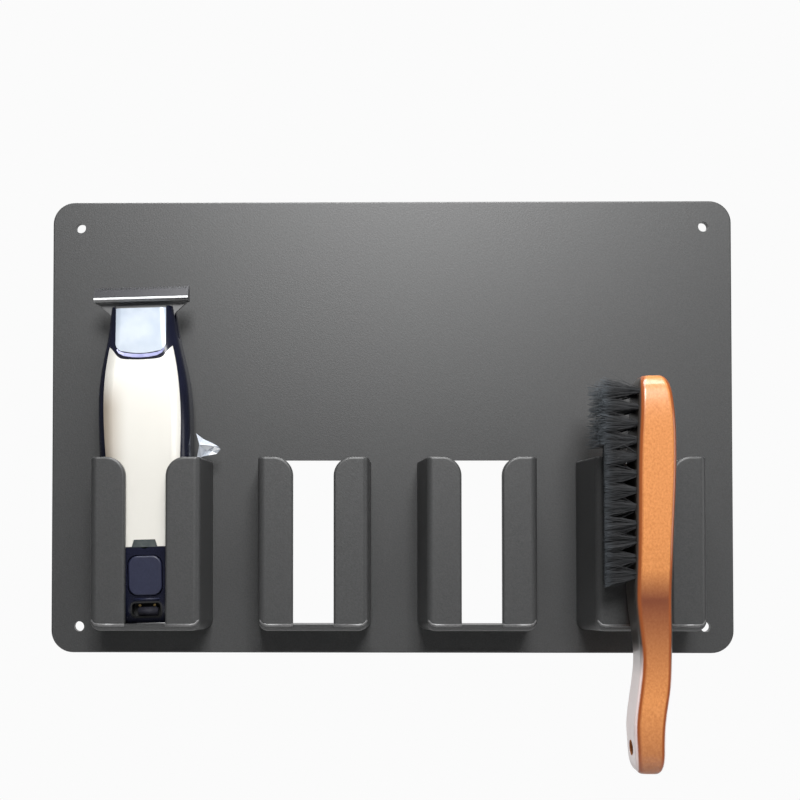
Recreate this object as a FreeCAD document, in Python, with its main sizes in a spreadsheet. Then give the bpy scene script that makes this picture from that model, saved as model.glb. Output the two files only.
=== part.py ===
import FreeCAD, Part
import math
import os
import Sketcher
from FreeCAD import Placement, Rotation, Vector

# Salon styling station: a flat wall rack with four open-fronted pockets, a cordless T-blade trimmer
# standing in the first pocket and a wooden bristle brush hanging in the fourth.
# Origin: centre of the four screw holes on the back face of the panel. +X right, +Z up, wall at Y = 0,
# so everything stands towards -Y. Millimetres.

SIZES = (
    # flat panel
    ("panel_width", 340, "overall width"),
    ("panel_height", 226, "overall height"),
    ("panel_thickness", 3, "sheet thickness"),
    ("panel_corner", 11, "corner radius"),
    ("panel_edge_round", 0.8, "radius of the front edge"),
    ("hole_spacing_x", 312, "screw holes, across"),
    ("hole_spacing_z", 200, "screw holes, up"),
    ("hole_diameter", 5, "screw hole"),
    # pockets
    ("pocket_pitch", 79, "from pocket to pocket"),
    ("pocket_shift", 1.4, "middle of the row, right of the origin"),
    ("pocket_top_drop", 17.6, "pocket top, below the origin"),
    ("pocket_width", 56, "outside width at the panel"),
    ("pocket_height", 81.7, "outside height at the front"),
    ("pocket_depth", 36, "wall to front face"),
    ("pocket_draft", 2.1, "how much each side leans in, panel to front"),
    ("pocket_wall", 2.5, "side wall"),
    ("pocket_front_wall", 2.8, "wall of the two lips"),
    ("pocket_floor", 3, "floor thickness"),
    ("pocket_corner", 5, "lower corners, seen from the front"),
    ("pocket_edge_round", 3.4, "radius round the front face"),
    ("window_rise", 0.6, "panel window top, above the pocket top"),
    ("slot_width", 19, "gap between the lips"),
    ("lip_shoulder", 9, "radius at the top inner corner of a lip"),
    ("slot_edge_round", 1.2, "radius of the slot's front edges"),
    # trimmer casing
    ("trimmer_lean", 1.5, "degrees, top towards the left"),
    ("trimmer_floor_gap", 0.4, "casing above the pocket floor"),
    ("trimmer_front_gap", 1.8, "casing behind the lips"),
    ("trimmer_back_gap", 0.4, "casing in front of the panel"),
    ("casing_length", 152.6, "foot to neck end"),
    ("casing_width", 44, "widest"),
    ("trimmer_room", "=pocket_depth - pocket_front_wall - panel_thickness", "lips to panel"),
    ("casing_depth", "=trimmer_room - trimmer_front_gap - trimmer_back_gap", "thickest"),
    ("casing_corner", 8, "largest corner radius of a cross section"),
    ("casing_wall", 2.2, "casing wall"),
    ("cover_skin", 1.2, "thickness of the covers let into the front"),
    ("cover_gap", 0.15, "clearance round a cover"),
    ("lamp_hole", 2.4, "radius of the hole behind the lens"),
    ("lamp_rise", 1.4, "lamp above the lower edge of the metal cover"),
    ("front_plate_width", 36.7, "metal cover"),
    ("front_plate_low", 37.1, "lower edge of the metal cover"),
    ("front_plate_high", "=casing_length - 20", "horns of the metal cover"),
    ("thumb_plate_width", 24, "pale plate below the blade"),
    ("thumb_plate_low", "=casing_length - 23.4", "lowest point of that plate"),
    ("thumb_band", 3.2, "strip of casing between the two plates"),
    ("thumb_plate_corner", 4, "lower corners of the pale plate"),
    ("neck_cut_height", "=casing_length - 15", "above here the casing is open for the blades"),
    ("button_width", 16, "power button"),
    ("button_height", 18.7, "power button"),
    ("button_middle", 23.4, "power button centre above the foot"),
    ("button_corner", 4.5, "power button corner radius"),
    ("button_proud", 0.6, "button stands out of the casing"),
    ("button_gap", 0.35, "round the button"),
    ("button_flange", 1.4, "flange beyond the button, behind the wall"),
    ("button_flange_thickness", 0.6, "flange of the button"),
    ("button_set_back", 0.6, "flange behind the wall, beyond the running gap"),
    ("button_edge", 0.8, "radius of the button's front edge"),
    ("socket_width", 15.2, "charging socket"),
    ("socket_height", 8, "charging socket"),
    ("socket_low", 3.2, "charging socket above the foot"),
    ("socket_back", "=8.5 - casing_depth / 2", "back of the socket tub, from the middle plane"),
    ("socket_wall", 0.8, "wall of the socket tub"),
    ("socket_corner", 2.4, "corner radius of the socket"),
    ("contact_radius", 0.6, "contact pin"),
    ("contact_x", 3.5, "contact pins either side of the middle"),
    ("contact_drop", 2, "contact pins below the top of the socket"),
    ("case_screw_shank", 0.9, "radius"),
    ("case_screw_head", 2.1, "radius"),
    ("case_screw_head_depth", 1.5, "screw head"),
    ("case_screw_seat", "=casing_depth / 2 - 6.5", "under the screw heads, from the middle plane"),
    ("case_screw_tip", "=5 - casing_depth / 2", "tips of the screws, from the middle plane"),
    ("front_boss", 2.5, "radius of the screw bosses in the front frame"),
    ("rear_post", 2.8, "radius of the screw posts in the rear shell"),
    ("screw_clearance", 0.35, "screw in the rear shell"),
    ("case_screw_x", 13.5, "screws either side of the middle"),
    ("film_low", 74.2, "lower end of the film scrap above the foot"),
    # trimmer inside
    ("board_width", 20, "circuit board"),
    ("board_low", 13, "circuit board lower edge"),
    ("board_high", "=casing_length - 55.6", "circuit board upper edge"),
    ("board_front", "=6.8 - casing_depth / 2", "front of the board, from the middle plane"),
    ("board_thickness", 1.6, "circuit board"),
    ("switch_size", 6, "tact switch, square"),
    ("switch_thickness", 1, "tact switch"),
    ("plunger_size", 3, "tact switch plunger, square"),
    ("plunger_stroke", 0.7, "tact switch plunger"),
    ("lamp_width", 3, "status lamp"),
    ("lamp_depth", 1.4, "status lamp"),
    ("lamp_height", 2, "status lamp"),
    ("battery_diameter", 14, "cell"),
    ("battery_length", 50, "cell"),
    ("battery_low", 43, "cell above the foot"),
    ("battery_cap_radius", 2.5, "end cap of the cell"),
    ("battery_cap_height", 1.5, "end cap of the cell"),
    ("battery_behind_board", 0.5, "gap to the board"),
    ("motor_diameter", 18, "motor can"),
    ("motor_length", 28, "motor can"),
    ("motor_low", "=casing_length - 52.6", "motor can above the foot"),
    ("motor_back", 1, "motor axis behind the middle plane"),
    ("shaft_radius", 1, "motor shaft"),
    ("shaft_clearance", 0.05, "shaft in its bearing"),
    ("cam_radius", 4, "disc on the shaft"),
    ("cam_offset", 1, "eccentric pin from the axis"),
    ("pin_radius", 1, "eccentric pin"),
    ("stroke", 1, "blade travel each way"),
    ("running_gap", 0.3, "between pieces that pass each other"),
    # blades
    ("blade_width", 45.5, "T-blade bar"),
    ("blade_low", "=casing_length + 2.3", "lower edge of the bar"),
    ("blade_high", "=blade_low + 7.4", "tooth tips"),
    ("blade_back", "=10.3 - casing_depth / 2", "cutting plane, from the middle plane"),
    ("blade_plate", 1.5, "thickness of the T-plate"),
    ("bar_proud", 4.4, "bar in front of the T-plate"),
    ("bar_land", 1.2, "height of the polished land on the bar"),
    ("blade_screw_x", 11, "blade screws either side of the middle"),
    ("blade_screw_rise", 5.5, "blade screws above the neck cut"),
    ("blade_screw_shank", 0.9, "radius"),
    ("blade_screw_head", 1.6, "radius"),
    ("blade_screw_sink", 0.9, "depth of the screw heads in the T-plate"),
    ("bracket_back", "=0.2286 * casing_depth", "back of the blade bracket, from the middle plane"),
    ("bracket_width", 24, "blade bracket"),
    ("bracket_height", 9, "blade bracket"),
    ("bracket_wall", 2.7, "side posts of the bracket, which the screws go into"),
    ("spring_bend", 2, "bend radius of the tension spring"),
    ("spring_wire", 0.45, "wire radius of the tension spring"),
    ("tooth_pitch", 1.3, "fixed blade teeth"),
    ("tooth_depth", 1.6, "fixed blade teeth"),
    ("moving_blade_width", 32, "moving blade"),
    ("moving_blade_thickness", 1.15, "moving blade"),
    # brush
    ("brush_length", 179, "wooden handle and head"),
    ("brush_head_width", 23.5, "head, front to back"),
    ("brush_thickness", 15.8, "head, left to right"),
    ("brush_grip_width", 18.6, "grip, front to back"),
    ("brush_yaw", 2, "degrees, back edge towards the right"),
    ("brush_off_middle", 1.9, "left of the middle of its pocket"),
    ("brush_floor_gap", 0.5, "head in front of the pocket"),
    ("brush_low_drop", 161.5, "lower end, below the origin"),
    ("brush_hole", 7, "hanging hole"),
    ("bristle_block_high", 175.5, "upper end of the bristles above the lower end"),
    ("bristle_block_low", 83, "lower end of the bristles"),
    ("bristle_length", 15, "out of the wood"),
    ("bristle_depth", 18, "front to back"),
)

doc = FreeCAD.newDocument("styling_station")
sheet = doc.addObject("Spreadsheet::Sheet", "dims")
for line_number, (alias, value, note) in enumerate(SIZES, start=1):
    sheet.set(f"A{line_number}", alias)
    sheet.set(f"B{line_number}", str(value))
    sheet.set(f"C{line_number}", note)
    sheet.setAlias(f"B{line_number}", alias)
doc.recompute()

SIZE = {alias: float(sheet.get(alias)) for alias, value, note in SIZES}
subparts = []


# ---------------------------------------------------------------- helpers for PartDesign and Part

def bind(feature, **expressions):
    """Tie properties of a feature to cells of the sheet."""
    for prop, expression in expressions.items():
        feature.setExpression(prop.replace("__", "."), expression)


def new_body(name):
    body = doc.addObject("PartDesign::Body", name)
    body.Label = name
    return body


def sketch_on(body, name, role, offset=None):
    """Sketch on one of the body's own origin planes, moved out along the plane's normal."""
    sketch = body.newObject("Sketcher::SketchObject", name)
    plane = [item for item in body.Origin.OriginFeatures if item.Role == role][0]
    sketch.AttachmentSupport = [(plane, "")]
    sketch.MapMode = "FlatFace"
    if offset:
        sketch.setExpression("AttachmentOffset.Base.z", offset)
    return sketch


def polygon(body, name, role, corners, offset=None):
    """Closed outline whose corners are pairs of expressions."""
    sketch = sketch_on(body, name, role, offset)
    places = []
    for across, up in corners:
        places.append(Vector(float(sketch.evalExpression(across)), float(sketch.evalExpression(up)), 0))
    count = len(places)
    for index in range(count):
        sketch.addGeometry(Part.LineSegment(places[index], places[(index + 1) % count]), False)
    for index, (across, up) in enumerate(corners):
        sketch.addConstraint(Sketcher.Constraint("Coincident", index, 2, (index + 1) % count, 1))
        for axis, value, expression in (("X", places[index].x, across), ("Y", places[index].y, up)):
            number = sketch.addConstraint(Sketcher.Constraint("Distance" + axis, -1, 1, index, 1, value))
            sketch.setExpression(f"Constraints[{number}]", expression)
    return sketch


def circles(body, name, role, centres, diameter, offset=None):
    """Round holes at pairs of expressions, all of one diameter."""
    sketch = sketch_on(body, name, role, offset)
    size = float(sketch.evalExpression(diameter))
    for index, (across, up) in enumerate(centres):
        centre = Vector(float(sketch.evalExpression(across)), float(sketch.evalExpression(up)), 0)
        sketch.addGeometry(Part.Circle(centre, Vector(0, 0, 1), size / 2), False)
        for axis, value, expression in (("X", centre.x, across), ("Y", centre.y, up)):
            number = sketch.addConstraint(Sketcher.Constraint("Distance" + axis, -1, 1, index, 3, value))
            sketch.setExpression(f"Constraints[{number}]", expression)
        number = sketch.addConstraint(Sketcher.Constraint("Diameter", index, size))
        sketch.setExpression(f"Constraints[{number}]", diameter)
    return sketch


def pad(body, name, sketch, length, midplane=False):
    feature = body.newObject("PartDesign::Pad", name)
    feature.Profile = sketch
    feature.Midplane = midplane
    bind(feature, Length=length)
    return feature


def cut(body, name, sketch, length):
    """Pocket into the solid, which must lose volume."""
    doc.recompute()
    before = body.Shape.Volume
    feature = body.newObject("PartDesign::Pocket", name)
    feature.Profile = sketch
    bind(feature, Length=length)
    doc.recompute()
    if body.Shape.Volume > before - 0.01:
        raise RuntimeError(f"{name} cuts nothing")
    return feature


def edges_where(shape, test):
    """Names of the edges whose middle point passes the test."""
    names = []
    for index, edge in enumerate(shape.Edges, start=1):
        middle = edge.valueAt((edge.FirstParameter + edge.LastParameter) / 2)
        if test(middle, edge):
            names.append(f"Edge{index}")
    return names


def round_edges(body, name, base, test, radius):
    doc.recompute()
    names = edges_where(base.Shape, test)
    if not names:
        raise RuntimeError(f"{name} finds no edge")
    feature = body.newObject("PartDesign::Fillet", name)
    feature.Base = (base, names)
    bind(feature, Radius=radius)
    return feature


def primitive(kind, name, **expressions):
    feature = doc.addObject("Part::" + kind, name)
    bind(feature, **expressions)
    return feature


def box(name, width, depth, height, left, front, low):
    """Part::Box with its size and its least corner given as expressions."""
    return primitive("Box", name, Length=width, Width=depth, Height=height,
                     Placement__Base__x=left, Placement__Base__y=front, Placement__Base__z=low)


def cylinder(name, radius, height, centre_x, centre_y, low):
    return primitive("Cylinder", name, Radius=radius, Height=height,
                     Placement__Base__x=centre_x, Placement__Base__y=centre_y, Placement__Base__z=low)


def boolean(kind, name, base, tool):
    feature = doc.addObject("Part::" + kind, name)
    feature.Base = base
    feature.Tool = tool
    return feature


def fuse(name, *shapes):
    feature = doc.addObject("Part::MultiFuse", name)
    feature.Shapes = list(shapes)
    return feature


def solid(name, shape):
    """A shape made by Part's own functions."""
    feature = doc.addObject("Part::Feature", name)
    feature.Shape = shape
    return feature


def subpart(feature, name, placement=None):
    """Register a finished piece under the name of its file, at its place in the object."""
    feature.Label = name
    if placement is not None:
        feature.Placement = placement
    subparts.append(feature)
    return feature


# ---------------------------------------------------------------- rack

def pocket_middle(number):
    """Expression for the middle of a pocket, counted from 1 on the left."""
    return f"dims.pocket_shift + {number - 2.5} * dims.pocket_pitch"


INNER_HALF = "(dims.pocket_width / 2 - dims.pocket_wall)"
REAR_FLOOR = "(-dims.pocket_top_drop - dims.pocket_height - dims.pocket_draft + dims.pocket_floor)"
WINDOW_TOP = "(dims.window_rise - dims.pocket_top_drop)"


def make_panel():
    body = new_body("rack_panel")
    right = "dims.panel_width / 2"
    top = "dims.panel_height / 2"
    outline = polygon(body, "panel_outline", "XZ_Plane",
                      ((f"-{right}", f"-{top}"), (right, f"-{top}"), (right, top), (f"-{right}", top)))
    sheet_pad = pad(body, "panel_sheet", outline, "dims.panel_thickness")
    corners = round_edges(body, "panel_corners", sheet_pad,
                          lambda middle, edge: abs(middle.y + SIZE["panel_thickness"] / 2) < 0.01,
                          "dims.panel_corner")
    round_edges(body, "panel_front_edge", corners,
                lambda middle, edge: abs(middle.y + SIZE["panel_thickness"]) < 0.01,
                "dims.panel_edge_round")
    hole_x = "dims.hole_spacing_x / 2"
    hole_z = "dims.hole_spacing_z / 2"
    holes = circles(body, "screw_hole_places", "XZ_Plane",
                    ((f"-{hole_x}", f"-{hole_z}"), (hole_x, f"-{hole_z}"),
                     (hole_x, hole_z), (f"-{hole_x}", hole_z)),
                    "dims.hole_diameter", "dims.panel_thickness")
    cut(body, "screw_holes", holes, "dims.panel_thickness")
    for number in range(1, 5):
        middle = pocket_middle(number)
        window = polygon(body, f"window_outline_{number}", "XZ_Plane",
                         ((f"{middle} - {INNER_HALF}", REAR_FLOOR), (f"{middle} + {INNER_HALF}", REAR_FLOOR),
                          (f"{middle} + {INNER_HALF}", WINDOW_TOP), (f"{middle} - {INNER_HALF}", WINDOW_TOP)),
                         "dims.panel_thickness")
        cut(body, f"window_{number}", window, "dims.panel_thickness")
    subpart(body, "rack_panel")


def pocket_outline(body, name, half_width, low, top, offset):
    return polygon(body, name, "XZ_Plane",
                   ((f"-{half_width}", low), (half_width, low), (half_width, top), (f"-{half_width}", top)),
                   offset)


def loft(body, kind, name, rear, front):
    feature = body.newObject("PartDesign::" + kind, name)
    feature.Profile = rear
    feature.Sections = [front]
    feature.Ruled = True
    return feature


def make_pocket(number):
    """Drafted tray standing on the panel's front face: open top, open back, slot down its front."""
    body = new_body(f"pocket_{number}")
    half = SIZE["pocket_width"] / 2
    front_y = -SIZE["pocket_depth"]
    low_z = -SIZE["pocket_top_drop"] - SIZE["pocket_height"]
    top_z = -SIZE["pocket_top_drop"]
    front_low = "(-dims.pocket_top_drop - dims.pocket_height)"

    rear = pocket_outline(body, f"outside_rear_{number}", "dims.pocket_width / 2",
                          f"{front_low} - dims.pocket_draft", "-dims.pocket_top_drop", "dims.panel_thickness")
    front = pocket_outline(body, f"outside_front_{number}", "(dims.pocket_width / 2 - dims.pocket_draft)",
                           front_low, "-dims.pocket_top_drop", "dims.pocket_depth")
    outside = loft(body, "AdditiveLoft", f"outside_{number}", rear, front)
    corners = round_edges(body, f"lower_corners_{number}", outside,
                          lambda middle, edge: middle.z < low_z + 1 and abs(middle.x) > half - 3
                          and front_y + 1 < middle.y < -SIZE["panel_thickness"] - 1, "dims.pocket_corner")
    round_edges(body, f"front_edge_{number}", corners,
                lambda middle, edge: abs(middle.y - front_y) < 0.01 and middle.z < top_z - 1,
                "dims.pocket_edge_round")

    inner_half_front = "(dims.pocket_width / 2 - dims.pocket_draft - dims.pocket_wall)"
    rear_in = pocket_outline(body, f"inside_rear_{number}", INNER_HALF, REAR_FLOOR, "1", "dims.panel_thickness")
    front_in = pocket_outline(body, f"inside_front_{number}", inner_half_front,
                              f"{front_low} + dims.pocket_floor", "1",
                              "dims.pocket_depth - dims.pocket_front_wall")
    loft(body, "SubtractiveLoft", f"inside_{number}", rear_in, front_in)

    slot_half = "dims.slot_width / 2"
    slot = polygon(body, f"slot_outline_{number}", "XZ_Plane",
                   ((f"-{slot_half}", f"{front_low} + dims.pocket_floor"),
                    (slot_half, f"{front_low} + dims.pocket_floor"),
                    (slot_half, "1"), (f"-{slot_half}", "1")), "dims.pocket_depth")
    slot_cut = cut(body, f"slot_{number}", slot, "dims.pocket_front_wall")
    slot_x = SIZE["slot_width"] / 2
    shoulders = round_edges(body, f"lip_shoulders_{number}", slot_cut,
                            lambda middle, edge: abs(abs(middle.x) - slot_x) < 0.01
                            and abs(middle.z - top_z) < 0.01, "dims.lip_shoulder")
    round_edges(body, f"slot_edges_{number}", shoulders,
                lambda middle, edge: abs(middle.y - front_y) < 0.01 and low_z + 5 < middle.z < top_z - 1
                and abs(middle.x) < slot_x + SIZE["lip_shoulder"] - 1, "dims.slot_edge_round")
    bind(body, Placement__Base__x=pocket_middle(number))
    subpart(body, f"pocket_{number}")


# ---------------------------------------------------------------- trimmer
# Its own frame: +Z from the foot to the blade, -Y to its front, origin at the foot on the middle plane.

# the pocket floor falls towards the wall, and the foot of the casing follows it
FLOOR_SLOPE = math.degrees(math.atan2(SIZE["pocket_draft"], SIZE["pocket_depth"] - SIZE["pocket_front_wall"]
                                      - SIZE["panel_thickness"]))
FOOT_END = 10

# share of the width and share of the depth, at heights above the foot and at distances below the neck end
FOOT_PROFILE = (
    (0, 0.60, 0.60),
    (3, 0.76, 0.81),
    (FOOT_END, 0.87, 0.94),
    (39.7, 0.94, 1.00),
    (76.3, 0.985, 1.00),
)
NECK_PROFILE = (
    (51.9, 1.00, 1.00),
    (39.7, 0.975, 0.99),
    (27.5, 0.89, 0.95),
    (13.7, 0.765, 0.84),
    (0, 0.68, 0.72),
)


def rounded_wire(centre_x, centre_y, height, half_x, half_y, radius):
    """Level rectangle with round corners."""
    lines = []
    quarter = radius * (1 - math.sqrt(0.5))
    corner_signs = ((1, -1), (1, 1), (-1, 1), (-1, -1))
    for sx, sy in corner_signs:
        start = Vector(sx * (half_x - radius), sy * half_y, 0)
        end = Vector(sx * half_x, sy * (half_y - radius), 0)
        if sx * sy > 0:
            start, end = end, start
        middle = Vector(sx * (half_x - quarter), sy * (half_y - quarter), 0)
        lines.append((start, middle, end))
    edges = []
    for index, (start, middle, end) in enumerate(lines):
        edges.append(Part.Arc(start, middle, end).toShape())
        edges.append(Part.LineSegment(end, lines[(index + 1) % 4][0]).toShape())
    wire = Part.Wire(edges)
    wire.translate(Vector(centre_x, centre_y, height))
    return wire


def casing_form(inset):
    """Outer form of the trimmer, or that form drawn in evenly."""
    wires = []
    length = SIZE["casing_length"]
    neck = tuple((length - below, across, through) for below, across, through in NECK_PROFILE)
    for above, across, through in FOOT_PROFILE + neck:
        half_x = SIZE["casing_width"] / 2 * across - inset
        half_y = SIZE["casing_depth"] / 2 * through - inset
        radius = min(SIZE["casing_corner"], 0.62 * half_y)
        height = inset + above * (1 - 2 * inset / length)
        wire = rounded_wire(0, 0, height, half_x, half_y, radius)
        if above < FOOT_END:
            wire.rotate(Vector(0, 0, height), Vector(1, 0, 0), -FLOOR_SLOPE * (1 - above / FOOT_END))
        wires.append(wire)
    return Part.makeLoft(wires, True, False)


def front_prism(edges):
    """Outline in the XZ plane pushed through the front half of the casing."""
    face = Part.Face(Part.Wire(edges))
    return face.extrude(Vector(0, -SIZE["casing_depth"], 0))


def line(start, end):
    return Part.LineSegment(Vector(start[0], 0, start[1]), Vector(end[0], 0, end[1])).toShape()


def arc(start, through, end):
    points = [Vector(x, 0, z) for x, z in (start, through, end)]
    return Part.Arc(*points).toShape()


def curve(points):
    spline = Part.BSplineCurve()
    spline.interpolate([Vector(x, 0, z) for x, z in points])
    return spline.toShape()


def front_plate_outline(gap):
    """Long cover: horns either side of the thumb plate, widest at two thirds, narrower to the foot."""
    half = SIZE["front_plate_width"] / 2 + gap
    low = SIZE["front_plate_low"] - gap
    high = SIZE["front_plate_high"] + gap
    dip = SIZE["thumb_plate_low"] - SIZE["thumb_band"] + gap
    side = ((0.82 * half, high), (0.945 * half, high - 14), (half, high - 34), (0.97 * half, high - 50),
            (0.90 * half, high - 72), (0.82 * half, low))
    left = tuple((-x, z) for x, z in reversed(side))
    cup_side = ((0.28 * half, dip + 0.2), (0.56 * half, dip + 1.2), (0.70 * half, high - 2.4), (0.82 * half, high))
    cup = tuple((-x, z) for x, z in reversed(cup_side)) + ((0, dip),) + cup_side
    return [curve(side), line(side[-1], left[0]), curve(left), curve(cup)]


def thumb_plate_outline(gap):
    """Straight sides, round lower corners and a bowed lower edge."""
    half = SIZE["thumb_plate_width"] / 2 + gap
    low = SIZE["thumb_plate_low"] - gap
    corner = SIZE["thumb_plate_corner"]
    bow = 0.25 * corner
    edge = low + bow
    top = SIZE["casing_length"] + 1
    bend = corner * (1 - math.sqrt(0.5))
    return [line((half, top), (half, edge + corner)),
            arc((half, edge + corner), (half - bend, edge + bend), (half - corner, edge)),
            arc((half - corner, edge), (0, low), (corner - half, edge)),
            arc((corner - half, edge), (bend - half, edge + bend), (-half, edge + corner)),
            line((-half, edge + corner), (-half, top)), line((-half, top), (half, top))]


def lens_outline(gap):
    low = SIZE["front_plate_low"] - 0.2 - gap
    high = low + 3.4 + 2 * gap
    bottom = 6.1 + gap
    top = 4.9 + gap
    return [line((bottom, low), (top, high)), line((top, high), (-top, high)),
            line((-top, high), (-bottom, low)), line((-bottom, low), (bottom, low))]


def rounded_front_prism(half_x, low, high, radius, near, far):
    """Block with round corners seen from the front, between two depths."""
    wire = rounded_wire(0, (low + high) / 2, 0, half_x, (high - low) / 2, radius)
    wire.rotate(Vector(0, 0, 0), Vector(1, 0, 0), 90)
    wire.translate(Vector(0, near, 0))
    return Part.Face(wire).extrude(Vector(0, far - near, 0))


def case_screw_places():
    offset = SIZE["case_screw_x"]
    return [(side * offset, height) for side in (-1, 1)
            for height in (SIZE["board_low"] + 6, SIZE["board_high"] - 4)]


def rod(radius, x, z, near, far):
    """Cylinder along Y from one depth to another."""
    return Part.makeCylinder(radius, far - near, Vector(x, near, z), Vector(0, 1, 0))


def trimmer_place():
    """The trimmer stands on the pocket floor behind the lips, and leans."""
    behind_lips = SIZE["trimmer_front_gap"] + SIZE["casing_depth"] / 2
    middle_y = SIZE["pocket_front_wall"] + behind_lips - SIZE["pocket_depth"]
    lean = Rotation(Vector(0, 1, 0), -SIZE["trimmer_lean"])
    front_floor = -SIZE["pocket_top_drop"] - SIZE["pocket_height"] + SIZE["pocket_floor"]
    foot = Vector(SIZE["pocket_shift"] - 1.5 * SIZE["pocket_pitch"], middle_y,
                  front_floor - behind_lips * math.tan(math.radians(FLOOR_SLOPE)) + SIZE["trimmer_floor_gap"])
    return Placement(foot, lean)


def make_casing(place):
    """Two shells joined on the middle plane, with the covers let into the front one."""
    outer = casing_form(0)
    inner = casing_form(SIZE["casing_wall"])
    skin = outer.cut(casing_form(SIZE["cover_skin"]))
    gap = SIZE["cover_gap"]
    depth = SIZE["casing_depth"]
    width = SIZE["casing_width"]
    length = SIZE["casing_length"]
    front_half = Part.makeBox(2 * width, depth, 2 * length, Vector(-width, -depth, -length / 2))
    rear_half = Part.makeBox(2 * width, depth, 2 * length, Vector(-width, 0, -length / 2))
    front_skin = skin.common(front_half)

    plate = front_skin.common(front_prism(front_plate_outline(0)))
    plate = plate.cut(front_prism(lens_outline(gap)))
    thumb = front_skin.common(front_prism(thumb_plate_outline(0)))
    neck_end = Part.makeBox(width, depth, length, Vector(-width / 2, -depth, length - SIZE["cover_skin"]))
    thumb = thumb.cut(neck_end)
    lens = front_skin.common(front_prism(lens_outline(0)))

    button_half = SIZE["button_width"] / 2
    button_low = SIZE["button_middle"] - SIZE["button_height"] / 2
    button_high = SIZE["button_middle"] + SIZE["button_height"] / 2
    round_gap = SIZE["button_gap"]
    socket_half = SIZE["socket_width"] / 2
    socket_high = SIZE["socket_low"] + SIZE["socket_height"]

    bosses = [rod(SIZE["front_boss"], x, z, -depth / 2, -0.1) for x, z in case_screw_places()]
    shell = outer.cut(inner).common(front_half)
    shell = shell.fuse([boss.common(outer) for boss in bosses])
    for x, z in case_screw_places():
        shell = shell.cut(rod(SIZE["case_screw_shank"], x, z, -depth / 2 + SIZE["casing_wall"], 1))
    for outline in (front_plate_outline(gap), thumb_plate_outline(gap), lens_outline(gap)):
        shell = shell.cut(front_skin.common(front_prism(outline)))
    shell = shell.cut(rounded_front_prism(button_half + round_gap, button_low - round_gap,
                                          button_high + round_gap, SIZE["button_corner"], -depth, 0))
    socket_corner = SIZE["socket_corner"]
    shell = shell.cut(rounded_front_prism(socket_half, SIZE["socket_low"], socket_high, socket_corner,
                                          -depth, 0))
    shell = shell.cut(rod(SIZE["lamp_hole"], 0, SIZE["front_plate_low"] + SIZE["lamp_rise"], -depth, 0))
    blade_room = SIZE["blade_back"] - SIZE["blade_plate"] - SIZE["running_gap"]
    shell = shell.cut(Part.makeBox(2 * width, -blade_room, length,
                                   Vector(-width, blade_room, SIZE["neck_cut_height"])))

    rear = outer.cut(inner).common(rear_half)
    posts = [rod(SIZE["rear_post"], x, z, 0, depth / 2).common(outer) for x, z in case_screw_places()]
    rear = rear.fuse(posts)
    seat = SIZE["case_screw_seat"]
    head_radius = SIZE["case_screw_head"]
    for x, z in case_screw_places():
        rear = rear.cut(rod(SIZE["case_screw_shank"] + SIZE["screw_clearance"], x, z, -1, depth))
        rear = rear.cut(rod(head_radius + SIZE["screw_clearance"], x, z, seat, depth))

    subpart(solid("front_frame_solid", shell.removeSplitter()), "trimmer_front_frame", place)
    subpart(solid("rear_shell_solid", rear.removeSplitter()), "trimmer_rear_shell", place)
    subpart(solid("front_plate_solid", plate), "front_plate", place)
    subpart(solid("thumb_plate_solid", thumb), "thumb_plate", place)
    subpart(solid("led_lens_solid", lens), "led_lens", place)

    screws = []
    for x, z in case_screw_places():
        shank = rod(SIZE["case_screw_shank"], x, z, SIZE["case_screw_tip"], seat)
        head = rod(head_radius, x, z, seat, seat + SIZE["case_screw_head_depth"])
        screws.append(shank.fuse(head).removeSplitter())
    subpart(solid("case_screws_solid", Part.makeCompound(screws)), "case_screws", place)

    # the button: a crowned cap that follows the casing, with a flange behind the wall
    front = -depth / 2 - SIZE["button_proud"]
    wall_back = -depth / 2 + SIZE["casing_wall"] + SIZE["running_gap"] + SIZE["button_set_back"]
    flange_edge = SIZE["button_flange"]
    cap = rounded_front_prism(button_half, button_low, button_high, SIZE["button_corner"],
                              front, wall_back + 0.5)
    front_edges = [edge for edge in cap.Edges
                   if all(abs(vertex.Y - front) < 0.01 for vertex in edge.Vertexes)]
    cap = cap.makeFillet(SIZE["button_edge"], front_edges)
    flange = rounded_front_prism(button_half + flange_edge, button_low - flange_edge,
                                 button_high + flange_edge, SIZE["button_corner"] + flange_edge,
                                 wall_back, wall_back + SIZE["button_flange_thickness"])
    subpart(solid("power_button_solid", cap.fuse(flange).removeSplitter()), "power_button", place)

    back = SIZE["socket_back"]
    wall = SIZE["socket_wall"]
    tub = rounded_front_prism(socket_half, SIZE["socket_low"], socket_high, socket_corner, -depth, back)
    hollow = rounded_front_prism(socket_half - wall, SIZE["socket_low"] + wall, socket_high - wall,
                                 socket_corner - wall, -depth, back - 1.5)
    pin_height = socket_high - SIZE["contact_drop"]
    pins = [rod(SIZE["contact_radius"], side * SIZE["contact_x"], pin_height, back - 4.5, back + 1)
            for side in (-1, 1)]
    tub = tub.cut(hollow).common(outer)
    for pin in pins:
        tub = tub.cut(pin)
    subpart(solid("charge_socket_solid", tub), "charge_socket", place)
    subpart(solid("contact_pins_solid", Part.makeCompound(pins)), "contact_pins", place)

    saddle_width = SIZE["motor_diameter"] + 6
    saddle = Part.makeBox(saddle_width, depth / 2, 5, Vector(-saddle_width / 2, -1, SIZE["motor_low"] + 6))
    saddle = saddle.common(casing_form(SIZE["casing_wall"] + SIZE["shaft_clearance"]))
    can = Part.makeCylinder(SIZE["motor_diameter"] / 2 + SIZE["shaft_clearance"], length,
                            Vector(0, SIZE["motor_back"], 0))
    subpart(solid("motor_cradle_solid", saddle.cut(can)), "motor_cradle", place)


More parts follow.
